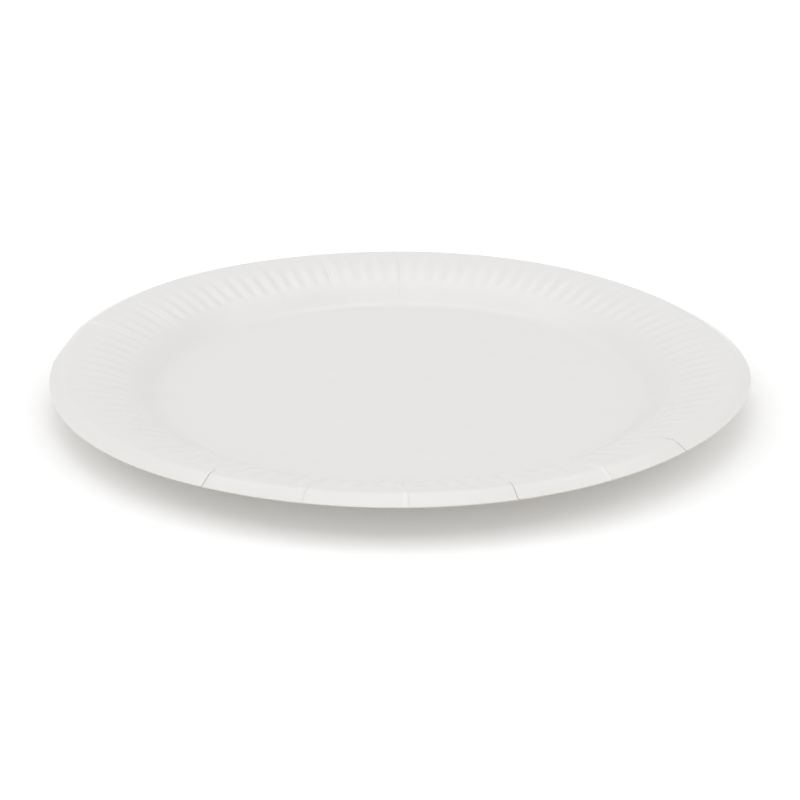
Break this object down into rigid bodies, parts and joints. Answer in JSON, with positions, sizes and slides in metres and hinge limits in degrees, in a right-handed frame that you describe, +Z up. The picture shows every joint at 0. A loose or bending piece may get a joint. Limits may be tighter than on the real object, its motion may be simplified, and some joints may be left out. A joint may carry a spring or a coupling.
{
  "type": "paper plate",
  "caption": "Round shallow paper plate: flat base, sloping wall, fluted rim gathered in pleats, and a lip turned down to a plain cut edge.",
  "frame": {"origin": "centre of the flat base's underside, on which the plate rests", "axes": "+Z up, square to the base; the pictured front faces -Y and +X is to its right"},
  "size_m": [0.23, 0.2302, 0.0141],
  "materials": {
    "board": "white board with a semi-gloss coated top face; the underside and the cut edge are bare, a little creamier and matt"
  },
  "bodies": {
    "root": {"plate": "board"}
  },
  "joints": []
}
